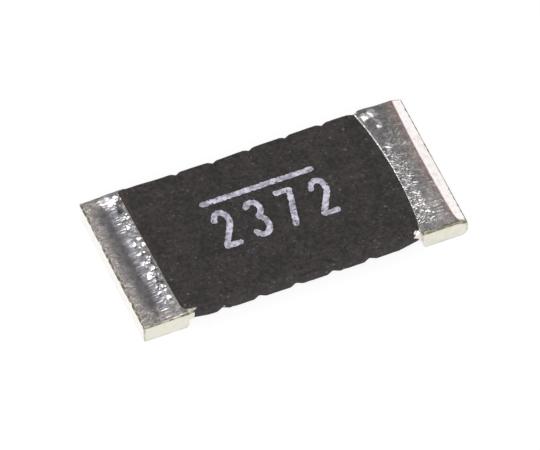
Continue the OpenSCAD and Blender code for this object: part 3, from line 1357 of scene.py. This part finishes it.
@dataclass
class LeftTerminal(Terminal):
    """Left block: a crumbly weld flank, a shallow smooth trough and a mottled margin."""

    side: Side = Side.LEFT
    rear_end: float = 1.5
    bite: float = 0.05
    trough_out: float = 0.5
    trough_depth: float = 0.010
    trough_wander: Unevenness = Unevenness(0.04, 0.5, 5.0)
    weld_streaks: Unevenness = Unevenness(0.0022, 0.035, 17.0, stretch=5.0)
    rear_streaks: Unevenness = Unevenness(0.0026, 0.045, 19.0, stretch=2.0)
    margin_grain: Unevenness = Unevenness(0.0011, 0.045, 21.0)
    # Patches where the crevices between the weld's lumps get painted shade.
    crevice_shade_patches: Unevenness = Unevenness(1.0, 0.2, 3.0)
    splashes: tuple[Splash, ...] = (
        Splash(2.71, 1.54, 0.16, 0.026),
        Splash(2.60, 1.44, 0.07, 0.008),
        Splash(2.53, 1.49, 0.035, 0.008),
        Splash(2.52, 1.26, 0.05, 0.010),
        Splash(2.57, 0.97, 0.04, 0.010),
        Splash(2.59, 0.76, 0.04, 0.010),
        Splash(2.60, 0.42, 0.085, 0.023),
        Splash(2.50, 0.39, 0.080, 0.022),
        Splash(2.47, 0.25, 0.050, 0.013),
        Splash(2.61, -0.16, 0.06, 0.014),
        Splash(2.52, -0.30, 0.05, 0.013),
        Splash(2.64, -0.42, 0.08, 0.018),
        Splash(2.57, -0.62, 0.04, 0.010),
        Splash(2.54, -0.74, 0.06, 0.016),
        Splash(2.53, -1.04, 0.07, 0.018),
    )
    crumbs: tuple[Crumb, ...] = (
        Crumb((2.265, -1.48, 0.315), (0.115, 0.15, 0.15), 0.06, 2.0, -1.578, 0.415),
        Crumb((2.165, -1.505, 0.405), (0.05, 0.05, 0.022), 0.2, 6.0, -1.56, 0.42),
    )

    def surface(self, x: float, y: float) -> float:
        """Height of the finished top above the terminal's plain top.

        Args:
            x: Place along the chip.
            y: Place across the chip.

        Returns:
            The height.
        """
        out = x - self.sizes.joint_x
        streak = self.weld_streaks.at(x, y) * bump(out, 0.38, 0.1)
        streak += self.rear_streaks.at(x, y) * bump(y, 1.42, 0.16) * bump(out, 0.40, 0.2)
        margin = self.margin_grain.at(x, y) * ramp(out, 0.58, 0.68)
        trough = self.trough_depth * bump(out, self.trough_out + self.trough_wander.at(0.0, y), 0.09)
        return self.bead(x) + self.crumble(x, y) + streak + margin + self.splash(x, y) - trough

    def crumbly(self, x: float, y: float) -> float:
        """Share of the weld's lumps that a place has: all of them along the weld's outer flank.

        Args:
            x: Place along the chip.
            y: Place across the chip.

        Returns:
            The share.
        """
        edge = x - self.sizes.joint_x + self.crumble_wander.at(x, y)
        calm = ramp(self.splash(x, y), 0.022, 0.006)
        flank = ramp(edge, 0.12, 0.19) * ramp(edge, 0.37, 0.27)
        return calm * flank * ramp(y, 1.5, 1.35) * ramp(y, -1.35, -1.1)

    def crevice_shade(self, at: Vector) -> float:
        """Share of painted shade at a place, in the crevices between the lumps of the weld.

        Args:
            at: Point on the surface.

        Returns:
            The share.
        """
        gap = ramp(self.lumps.share(at.x, at.y), 0.4, 0.1)
        patch = ramp(self.crevice_shade_patches.at(at.x, at.y), -0.3, 0.2)
        return self.dross_and_crevice_shade * gap * self.crumbly(at.x, at.y) * patch

    def finish(self) -> TinPlating:
        """Tin of this block."""
        return LeftTin("tin_left", self.sizes, self.side, scratches=0.15, ragged=2.2)


@dataclass
class RightTerminal(Terminal):
    """Right block: a finely rippled weld flank, a sheared slope and a rolled outer edge."""

    coat: "Coating | None" = None
    rolled_radius: float = 0.18
    slope_length: float = 0.2
    lip_radius: float = 0.021
    lip_rear: float = 1.53
    lip_front: float = -1.35
    lip_steps: int = 180
    lip_faces: int = 10
    lip_out: float = 0.005
    lip_rise: float = 0.003
    lip_wander: Unevenness = Unevenness(0.004, 0.1, 3.0)
    creases: Unevenness = Unevenness(0.0062, 0.055, 29.0, Pattern.CREASES)
    lumps: Unevenness = Unevenness(0.0055, 0.12, 32.0, Pattern.LUMPS)
    crumble_sink: float = 0.0062
    crumble_wander: Unevenness = Unevenness(0.06, 0.2, 8.0)
    # Darkness of the painted shade in the crevices between the weld's lumps.
    dross_and_crevice_shade: float = 0.75
    margin_grain: Unevenness = Unevenness(0.0012, 0.05, 36.0)
    front_streaks: Unevenness = Unevenness(0.003, 0.04, 41.0, stretch=5.0)
    slanting_streaks: Unevenness = Unevenness(0.004, 0.05, 45.0, stretch=7.0)
    swirls: Unevenness = Unevenness(0.0045, 0.15, 52.0)
    weld_colour: Colour = (0.84, 0.765, 0.745)
    splashes: tuple[Splash, ...] = (
        Splash(2.325, 1.41, 0.075, 0.017),
        Splash(2.40, 1.36, 0.035, 0.006),
        Splash(2.525, 1.43, 0.070, 0.017),
        Splash(2.46, 1.47, 0.035, 0.006),
        Splash(2.53, 1.20, 0.045, 0.010),
        Splash(2.49, 1.26, 0.030, 0.005),
        Splash(2.54, 1.12, 0.048, 0.012),
        Splash(2.50, 0.60, 0.050, 0.008),
        Splash(2.55, -0.80, 0.035, 0.007),
        Splash(2.57, -0.93, 0.030, 0.006),
        Splash(2.58, -1.08, 0.040, 0.008),
    )
    crumbs: tuple[Crumb, ...] = (
        Crumb((2.235, -1.485, 0.335), (0.095, 0.10, 0.085), 0.22, 5.0, -1.54, 0.44),
        Crumb((2.175, -1.475, 0.40), (0.05, 0.06, 0.042), 0.25, 8.0, -1.52, 0.44),
        Crumb((2.275, -1.50, 0.245), (0.06, 0.08, 0.07), 0.25, 11.0, -1.55, 0.44),
        Crumb((2.175, -1.49, 0.31), (0.045, 0.06, 0.045), 0.25, 13.0, -1.53, 0.44),
    )

    def surface(self, x: float, y: float) -> float:
        """Height of the finished top above the terminal's plain top.

        Args:
            x: Place along the chip.
            y: Place across the chip.

        Returns:
            The height.
        """
        out = x - self.sizes.joint_x
        margin = self.margin_grain.at(x, y) * ramp(out, 0.36, 0.46)
        streak = self.front_streaks.at(x, y) * bump(out, 0.48, 0.1) * bump(y, -1.1, 0.25)
        streak += self.slanting_streaks.at(x + y, x - y) * bump(out, 0.5, 0.12) * bump(y, 0.78, 0.25)
        streak += self.swirls.at(x, y) * bump(out, 0.28, 0.2) * ramp(y, 0.0, 0.4)
        start = self.slope.start(y)
        slope = self.slope.drop * max(0.0, (x - start) / (self.sizes.outer_x - start))
        return self.bead(x) + self.crumble(x, y) + margin + streak + self.splash(x, y) - slope

    def crumbly(self, x: float, y: float) -> float:
        """Share of the weld's lumps that a place has: most of them at the front and the weld's crest."""
        edge = x - self.sizes.joint_x + self.crumble_wander.at(x, y)
        return ramp(edge, 0.0, 0.08) * ramp(edge, 0.46, 0.24) * ramp(y, 0.9, 0.1) * ramp(y, -1.5, -1.25)

    def crevice_shade(self, at: Vector) -> float:
        """Share of painted shade at a place, in the crevices between the lumps of the weld."""
        gap = ramp(self.creases.share(at.x, at.y), 0.4, 0.0)
        return self.dross_and_crevice_shade * gap * self.crumbly(at.x, at.y)

    def finish(self) -> TinPlating:
        """Tin of this block."""
        weld = self.weld_colour
        return RightTin("tin_right", self.sizes, self.side, weld=weld, weld_top=weld, slope=self.slope)

    def add_weld(self, clay: Clay) -> None:
        """Adds the lip along the coat's edge and the crumbs at the front end of the joint.

        Args:
            clay: Mesh of the block.
        """
        path = []
        for step in range(self.lip_steps + 1):
            y = self.lip_rear + (self.lip_front - self.lip_rear) * step / self.lip_steps
            x = self.coat.right_end(y) + self.lip_out + self.lip_wander.at(0.0, y)
            path.append(Vector((x, y, self.sizes.terminal_top + self.surface(x, y) + self.lip_rise)))
        clay.rod(path, self.lip_size, self.lip_faces)
        super().add_weld(clay)

    def lip_size(self, share: float) -> float:
        """Radius of the lip at a share of its length from the rear: thinner over its front half.

        Args:
            share: Share of the lip's length.

        Returns:
            The radius.
        """
        thin = 1.0 - 0.6 * ramp(share, 0.45, 0.7)
        beads = 0.6 * ripple(share, 0.0, 0.034) + 0.5 * ripple(share, 1.0, 0.013)
        return self.lip_radius * thin * max(0.5, 1.05 + 0.8 * beads)


@dataclass
class Coating:
    """Black coat over the strip, notched at the slots' mouths and bowed at its right end.

    A notch is given by its width and its depth.
    """

    sizes: ChipSizes
    bow: float = 0.14
    lean: float = 0.035
    skew: float = 0.065
    side_radius: float = 0.1
    end_radius: float = 0.05
    under_radius: float = 0.05
    front_corner: float = 0.2
    rear_corner: float = 0.06
    right_corner: float = 0.35
    taper_length: float = 0.55
    taper_depth: float = 0.1
    notch_count: int = 10
    notch_pitch: float = 0.36
    rear_shift: float = -0.05
    front_notch: tuple[float, float] = (0.24, 0.06)
    rear_notch: tuple[float, float] = (0.20, 0.04)
    crease_depth: float = 0.016
    sag: float = 0.02
    print_depth: float = 0.006
    still_x: float = 1.6
    step: float = 0.004
    wave_depth: float = 0.02
    dip_depth: float = 0.014
    grain_sink: float = 0.002
    grain_height: float = 0.0012
    grain_pitch: float = 0.07
    swell_height: float = 0.002
    swell_pitch: float = 0.3
    pit_depth: float = 0.02
    pit_pitch: float = 0.09
    pit_level: float = 0.45
    pit_seed: Triple = (5.0, 3.0, 1.0)

    @property
    def top(self) -> float:
        """Height of the coat under the print."""
        return self.sizes.coating_top - self.print_depth

    def bowed_end(self, y: float) -> float:
        """Where the bowed right end is at a place across the chip.

        Args:
            y: Place across the chip.

        Returns:
            The place along the chip.
        """
        radius = arc_radius(self.sizes.coating_half_width, self.bow)
        drop = radius - math.sqrt(radius * radius - y * y)
        return self.sizes.coating_right - drop - self.lean * y / self.sizes.coating_half_width

    def right_end(self, y: float) -> float:
        """Where the coat's edge is at its right end, with its corners rounded.

        Args:
            y: Place across the chip.

        Returns:
            The place along the chip.
        """
        radius = self.right_corner
        beyond = max(0.0, abs(y) - self.sizes.coating_half_width + radius)
        corner = self.sizes.coating_right - radius + math.sqrt(max(0.0, radius * radius - beyond * beyond))
        return min(self.bowed_end(y), corner)

    def left_end(self, y: float) -> float:
        """Where the skewed left end is at a place across the chip."""
        half_width = self.sizes.coating_half_width
        return self.sizes.coating_left + self.skew * (half_width - y) / (2.0 * half_width)

    def notch_x(self, index: int) -> float:
        """Place of a notch along the chip."""
        shift = 0.0 if index % 2 == 0 else self.rear_shift
        return shift + (index - (self.notch_count - 1) / 2) * self.notch_pitch

    def place(self, at: Vector) -> Vector:
        """Moves a point of the rough block to its place on the finished coat.

        Args:
            at: Point of the rough block.

        Returns:
            Its place on the finished coat.
        """
        sizes = self.sizes
        under = at.z < sizes.terminal_top + self.step / 2
        x, y, z = at
        if x > self.still_x:
            end = self.bowed_end(y)
            x = self.drawn(x, sizes.coating_right, min(end, sizes.joint_x) if under else end)
        elif x < -self.still_x:
            x = self.drawn(x, sizes.coating_left, -sizes.joint_x if under else self.left_end(y))
        edge = sizes.coating_half_width - abs(y)
        front = y < 0.0
        inset = max(self.corner(x, front), self.taper(x) if front else self.wave(x)) * ramp(edge, 0.5, 0.0)
        notch, sink = self.notch(x, y)
        y -= math.copysign(inset + notch, y)
        z -= sink * ramp(z, sizes.coating_bottom + 0.2, sizes.coating_top - 0.02)
        z += self.sag * (x / sizes.joint_x) ** 2 * ramp(z, sizes.coating_bottom + 0.1, sizes.coating_bottom)
        return Vector((x, y, z))

    def drawn(self, x: float, rough_end: float, end: float) -> float:
        """Draws the rough block out to one of its ends.

        Args:
            x: Place along the rough block, beyond the middle that stays as it is.
            rough_end: Where the rough block ends on that side.
            end: Where the coat ends there.

        Returns:
            The place along the coat.
        """
        still = math.copysign(self.still_x, x)
        return still + (x - still) * (end - still) / (rough_end - still)

    def corner(self, x: float, front: bool) -> float:
        """Depth that a long edge is drawn in by the rounded corner at its end.

        Args:
            x: Place along the chip.
            front: Whether the edge is the front one.

        Returns:
            The depth.
        """
        sizes = self.sizes
        if x > 0.0:
            radius, beyond = self.right_corner, x - sizes.coating_right + self.right_corner
        else:
            radius = self.front_corner if front else self.rear_corner
            end = self.left_end(-sizes.coating_half_width if front else sizes.coating_half_width)
            beyond = end + radius - x
        beyond = min(radius, max(0.0, beyond))
        return radius - math.sqrt(radius * radius - beyond * beyond)

    def taper(self, x: float) -> float:
        """Depth that the front edge is drawn in near its ends."""
        end = self.sizes.coating_right - x if x > 0.0 else x - self.sizes.coating_left
        return self.taper_depth * max(0.0, 1.0 - end / self.taper_length)

    def wave(self, x: float) -> float:
        """Depth that the rear edge is drawn in where the coat ran thin."""
        thin = self.wave_depth * ramp(x, 1.5, -0.2) + self.dip_depth * bump(x, -0.45, 0.3)
        return ramp(x, -2.1, -1.6) * thin

    def notch(self, x: float, y: float) -> tuple[float, float]:
        """Depth that a point near a long edge is drawn in and down by the nearest notch.

        Args:
            x: Place along the chip.
            y: Place across the chip.

        Returns:
            The depth inwards and the depth downwards.
        """
        inset = sink = 0.0
        width, depth = self.front_notch if y < 0.0 else self.rear_notch
        for index in range(self.notch_count):
            off = abs(x - self.notch_x(index))
            if (index % 2 == 0) != (y < 0.0) or off > width:
                continue
            edge = self.sizes.coating_half_width - abs(y)
            inset += depth * max(0.0, 1.0 - off / (width / 2)) * ramp(edge, 0.3, 0.0)
            sink += self.crease_depth * bump(off, 0.0, 0.03) * ramp(edge, 0.3, 0.1)
        return inset, sink

    def build(self, pitch: float = 0.024) -> bpy.types.Object:
        """Builds and dresses the coat.

        Args:
            pitch: Spacing of the mesh on the coat's top.

        Returns:
            The finished piece.
        """
        sizes = self.sizes
        half_width = sizes.coating_half_width
        clay = Clay()
        low = (sizes.coating_left, -half_width, sizes.coating_bottom)
        clay.box(low, (sizes.coating_right, half_width, self.top))
        clay.round_edges(partial(self.is_long, height=self.top), self.side_radius, 6)
        clay.round_edges(partial(self.is_long, height=sizes.coating_bottom), self.under_radius, 3)
        clay.round_edges(self.is_end_top, self.end_radius, 4)
        clay.slice(Axis.UP, sizes.terminal_top)
        clay.slice(Axis.UP, sizes.terminal_top + self.step)
        clay.split(Axis.ALONG, sizes.coating_left, sizes.coating_right, pitch)
        clay.split(Axis.ACROSS, -half_width, half_width, pitch)
        clay.shape(self.place)
        clay.weather(self.grit)
        finish = BlackCoating("black_coating", sizes)
        return clay.hand_over("coating_shell", finish.material(), Slot.COATING, "coating")

    def is_long(self, edge: bmesh.types.BMEdge, height: float) -> bool:
        """Says whether an edge is one of the long edges at a height.

        Args:
            edge: Edge of the rough block.
            height: Height of the long edges.

        Returns:
            Whether it is one of them.
        """
        first, last = (vert.co for vert in edge.verts)
        level = abs(first.z - height) < NEAR and abs(last.z - height) < NEAR
        return level and abs(last.x - first.x) > 1.0

    def is_end_top(self, edge: bmesh.types.BMEdge) -> bool:
        """Says whether an edge runs over the top of one of the ends, from one side to the other.

        Args:
            edge: Edge of the rough block.

        Returns:
            Whether it does.
        """
        first, last = (vert.co for vert in edge.verts)
        low = self.top - self.side_radius - NEAR
        flat = abs(first.x - last.x) < SAME
        return flat and first.z > low and last.z > low

    def grit(self, at: Vector, normal: Vector) -> float:
        """Height of the coat's grain, with a few shallow pits.

        Args:
            at: Point on the surface.
            normal: Direction that the surface faces there, which has no part in it.

        Returns:
            The height, which is negative inwards.
        """
        grain = self.grain_height * noise.noise(at / self.grain_pitch)
        grain += self.swell_height * noise.noise(at / self.swell_pitch)
        pit = max(0.0, noise.noise(at / self.pit_pitch + Vector(self.pit_seed)) - self.pit_level)
        return min(0.0, grain - self.grain_sink) - self.pit_depth * pit


class Glyph(Enum):
    """Plain digits, each one pen stroke in a cell one wide and one high."""

    TWO = "2"
    THREE = "3"
    SEVEN = "7"

    def corners(self) -> list[Point]:
        """Points that the pen passes.

        Returns:
            Points in the cell, from the stroke's start to its end.
        """
        if self is Glyph.TWO:
            return [*pen_arc((0.5, 0.73), (0.5, 0.27), 165, -30), (0.0, 0.0), (1.0, 0.0)]
        if self is Glyph.THREE:
            return [
                *pen_arc((0.47, 0.77), (0.47, 0.23), 150, -75),
                *pen_arc((0.45, 0.27), (0.55, 0.27), 75, -150),
            ]
        return [(0.0, 1.0), (1.0, 1.0), (0.32, 0.0)]


def pen_arc(middle: Point, radii: Point, start: float, end: float, steps: int = 24) -> list[Point]:
    """Points of an arc of an ellipse, from a start to an end angle in degrees."""
    turns = [math.radians(start + (end - start) * i / steps) for i in range(steps + 1)]
    return [(middle[0] + radii[0] * math.cos(t), middle[1] + radii[1] * math.sin(t)) for t in turns]


@dataclass
class Marking:
    """Bar and plain digits printed on the coat in round-ended strokes."""

    sizes: ChipSizes
    digits: tuple[Glyph, ...] = (Glyph.TWO, Glyph.THREE, Glyph.SEVEN, Glyph.TWO)
    left: float = -1.15
    pitch: float = 0.635
    digit_width: float = 0.38
    low: float = -0.525
    high: float = 0.385
    bar_left: float = -1.2
    bar_right: float = 1.034
    bar_y: float = 0.614
    stroke: float = 0.114
    depth: float = 0.014
    step: float = 0.008
    eased: int = 10
    across: int = 12
    seed_step: float = 1.7
    width_share: float = 0.12
    width_pitch: float = 0.12
    coarse_fray: tuple[Unevenness, Unevenness] = (Unevenness(0.016, 0.05, 2.0), Unevenness(0.016, 0.05, 9.0))
    fine_fray: tuple[Unevenness, Unevenness] = (Unevenness(0.008, 0.022, 5.0), Unevenness(0.008, 0.022, 7.0))
    sag: Unevenness = Unevenness(0.0015, 0.06, 4.0)

    def pen_path(self, corners: Sequence[Point]) -> list[Vector]:
        """Evenly spaced points along a stroke, with its corners eased.

        Args:
            corners: Points that the pen passes.

        Returns:
            The points along the stroke.
        """
        points = [Vector((x, y, self.sizes.coating_top)) for x, y in corners]
        path = self.spaced(points)
        for _ in range(self.eased):
            inner = [(path[i - 1] + path[i] * 2 + path[i + 1]) / 4 for i in range(1, len(path) - 1)]
            path = [path[0], *inner, path[-1]]
        return self.spaced(path)

    def spaced(self, points: Sequence[Vector]) -> list[Vector]:
        """Points at even steps along a line through some points.

        Args:
            points: Points that the line passes.

        Returns:
            The points at even steps.
        """
        runs = [(b - a).length for a, b in zip(points, points[1:])]
        count = max(2, round(sum(runs) / self.step))
        spacing = sum(runs) / count
        result, index, start = [points[0].copy()], 0, 0.0
        for i in range(1, count):
            while start + runs[index] < i * spacing:
                start += runs[index]
                index += 1
            result.append(points[index].lerp(points[index + 1], (i * spacing - start) / runs[index]))
        return [*result, points[-1].copy()]

    def build(self) -> bpy.types.Object:
        """Builds and dresses the print.

        Returns:
            The finished piece.
        """
        clay = Clay()
        half = self.stroke / 2
        strokes = [[(self.bar_left + half, self.bar_y), (self.bar_right - half, self.bar_y)]]
        size = (self.digit_width - self.stroke, self.high - self.low - self.stroke)
        for index, digit in enumerate(self.digits):
            corner = (self.left + index * self.pitch + half, self.low + half)
            strokes.append([(corner[0] + x * size[0], corner[1] + y * size[1]) for x, y in digit.corners()])
        for index, corners in enumerate(strokes):
            clay.ribbon(self.pen_path(corners), partial(self.half_width, self.seed_step * index), self.across)
        clay.thicken(self.depth)
        clay.shape(self.ragged)
        return clay.hand_over("marking", MarkingInk().material(), Slot.INK)

    def half_width(self, seed: float, length: float) -> float:
        """Half of a stroke's width at a length along it, uneven in a way that its seed sets."""
        return self.stroke / 2 * (1.0 + self.width_share * ripple(length, seed, self.width_pitch))

    def ragged(self, at: Vector) -> Vector:
        """Frays the print a little and keeps its top level with the coat's highest place.

        Args:
            at: Point of the even print.

        Returns:
            Its place on the frayed print.
        """
        moved = at.copy()
        for along, across in (self.coarse_fray, self.fine_fray):
            moved += Vector((along.at(at.x, at.y), across.at(at.x, at.y), 0.0))
        moved.z -= self.sag.height + self.sag.at(at.x, at.y)
        return moved


@dataclass(frozen=True)
class Lamp:
    """Square soft lamp that faces the chip.

    Attributes:
        name: Name of the lamp.
        place: Where it hangs, as seen from the chip, in metres.
        size: Side of the lamp in metres.
        power: Power of the lamp in watts.
    """

    name: str
    place: Triple
    size: float
    power: float

    def hang(self) -> None:
        """Adds the lamp to the scene."""
        data = bpy.data.lights.new(self.name, "AREA")
        data.size = self.size
        data.energy = self.power
        lamp = bpy.data.objects.new(self.name, data)
        place = Vector(self.place)
        turn = place.to_track_quat("Z", "Y").to_matrix().to_4x4()
        lamp.matrix_world = Matrix.Translation(place) @ turn
        lamp.visible_camera = False
        bpy.context.scene.collection.objects.link(lamp)


@dataclass
class Studio:
    """Pale floor, soft lamps and the camera at the photograph's angle."""

    azimuth: float = -19.972
    elevation: float = 50.741
    roll: float = -2.829
    distance: float = 200.0
    pixels_per_mm: float = 54.85
    origin_pixel: tuple[float, float] = (273.957, 225.58)
    image: tuple[int, int] = (540, 450)
    sensor: float = 36.0
    clip: tuple[float, float] = (0.01, 20.0)
    floor_half: float = 2.0
    floor_gap: float = 1e-6
    floor_grey: Colour = (0.86, 0.86, 0.86)
    floor_glow: float = 0.87
    window_lean: float = -0.6
    ceiling_start: float = 0.2
    ceiling_end: float = 0.38
    ceiling_light: float = 0.34
    lamps: tuple[Lamp, ...] = (
        Lamp("rear_lamp", (-0.12, 0.16, 0.24), 0.14, 0.045),
        Lamp("overhead_lamp", (0.04, 0.08, 0.27), 0.11, 0.12),
        Lamp("side_lamp", (0.139, 0.089, 0.248), 0.09, 0.06),
        Lamp("front_lamp", (-0.10, -0.20, 0.24), 0.20, 1.0),
    )

    def camera(self) -> None:
        """Sets the camera where the photograph was taken from."""
        az, el, roll = (math.radians(a) for a in (self.azimuth, self.elevation, self.roll))
        back = Vector((math.sin(az) * math.cos(el), -math.cos(az) * math.cos(el), math.sin(el)))
        level = Vector((math.cos(az), math.sin(az), 0.0))
        upright = back.cross(level)
        right = math.cos(roll) * level + math.sin(roll) * upright
        up = -math.sin(roll) * level + math.cos(roll) * upright
        off_x = (self.origin_pixel[0] - self.image[0] / 2) / self.pixels_per_mm
        off_y = (self.origin_pixel[1] - self.image[1] / 2) / self.pixels_per_mm
        place = (back * self.distance - right * off_x + up * off_y) * MILLIMETRE
        data = bpy.data.cameras.new("camera")
        data.sensor_width = self.sensor
        data.lens = self.pixels_per_mm * self.distance * self.sensor / self.image[0]
        data.clip_start, data.clip_end = self.clip
        camera = bpy.data.objects.new("camera", data)
        turn = Matrix((right, up, back)).transposed().to_4x4()
        camera.matrix_world = Matrix.Translation(place) @ turn
        bpy.context.scene.collection.objects.link(camera)
        bpy.context.scene.camera = camera

    def floor(self) -> None:
        """Lays the pale floor, which shows white and keeps a soft shadow."""
        mesh = bmesh.new()
        bmesh.ops.create_grid(mesh, x_segments=1, y_segments=1, size=self.floor_half)
        data = bpy.data.meshes.new("floor")
        mesh.to_mesh(data)
        mesh.free()
        floor = bpy.data.objects.new("floor", data)
        floor.location.z = -self.floor_gap
        bpy.context.scene.collection.objects.link(floor)
        material = bpy.data.materials.new("pale_floor")
        material.use_nodes = True
        graph = NodeGraph(material.node_tree)
        graph.tree.nodes.clear()
        ray = graph.node("ShaderNodeLightPath").outputs
        seen = graph.largest(ray["Is Camera Ray"], ray["Is Glossy Ray"], ray["Is Transmission Ray"])
        mix = graph.node("ShaderNodeMixShader")
        graph.feed(mix.inputs[0], graph.product(seen, self.floor_glow))
        graph.feed(mix.inputs[1], graph.node("ShaderNodeBsdfDiffuse", Color=self.floor_grey).outputs[0])
        graph.feed(mix.inputs[2], graph.node("ShaderNodeEmission").outputs[0])
        graph.node("ShaderNodeOutputMaterial", Surface=mix.outputs[0])
        data.materials.append(material)

    def world(self) -> None:
        """Lights the room: walls that are white low down and higher up on the right, and a grey ceiling."""
        world = bpy.data.worlds.new("room")
        world.use_nodes = True
        graph = NodeGraph(world.node_tree)
        place = graph.node("ShaderNodeTexCoord").outputs["Generated"]
        axes = graph.node("ShaderNodeSeparateXYZ", Vector=place).outputs
        window = graph.total(graph.product(axes["X"], self.window_lean), axes["Z"])
        light = graph.step(window, self.ceiling_start, self.ceiling_end, 1.0, self.ceiling_light)
        graph.feed(graph.tree.nodes["Background"].inputs["Color"], light)
        bpy.context.scene.world = world

    def build(self) -> None:
        """Sets up the camera, the floor and the light."""
        bpy.context.scene.view_settings.view_transform = "Standard"
        self.camera()
        self.floor()
        self.world()
        for lamp in self.lamps:
            lamp.hang()


def dress_strip() -> None:
    """Gives the resistance strip its bare metal finish."""
    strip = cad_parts["resistance_strip"]
    strip.data.materials.clear()
    strip.data.materials.append(BareAlloy().material())
    log.info("resistance_strip: dressed")


def main() -> None:
    """Builds the studio and every piece of the resistor."""
    logging.basicConfig(level=logging.INFO, format="%(name)s: %(message)s")
    sizes = ChipSizes.from_frame()
    Studio().build()
    coat = Coating(sizes)
    LeftTerminal(sizes).build()
    RightTerminal(sizes, coat=coat).build()
    dress_strip()
    coat.build()
    Marking(sizes).build()


if __name__ == "__main__":
    main()
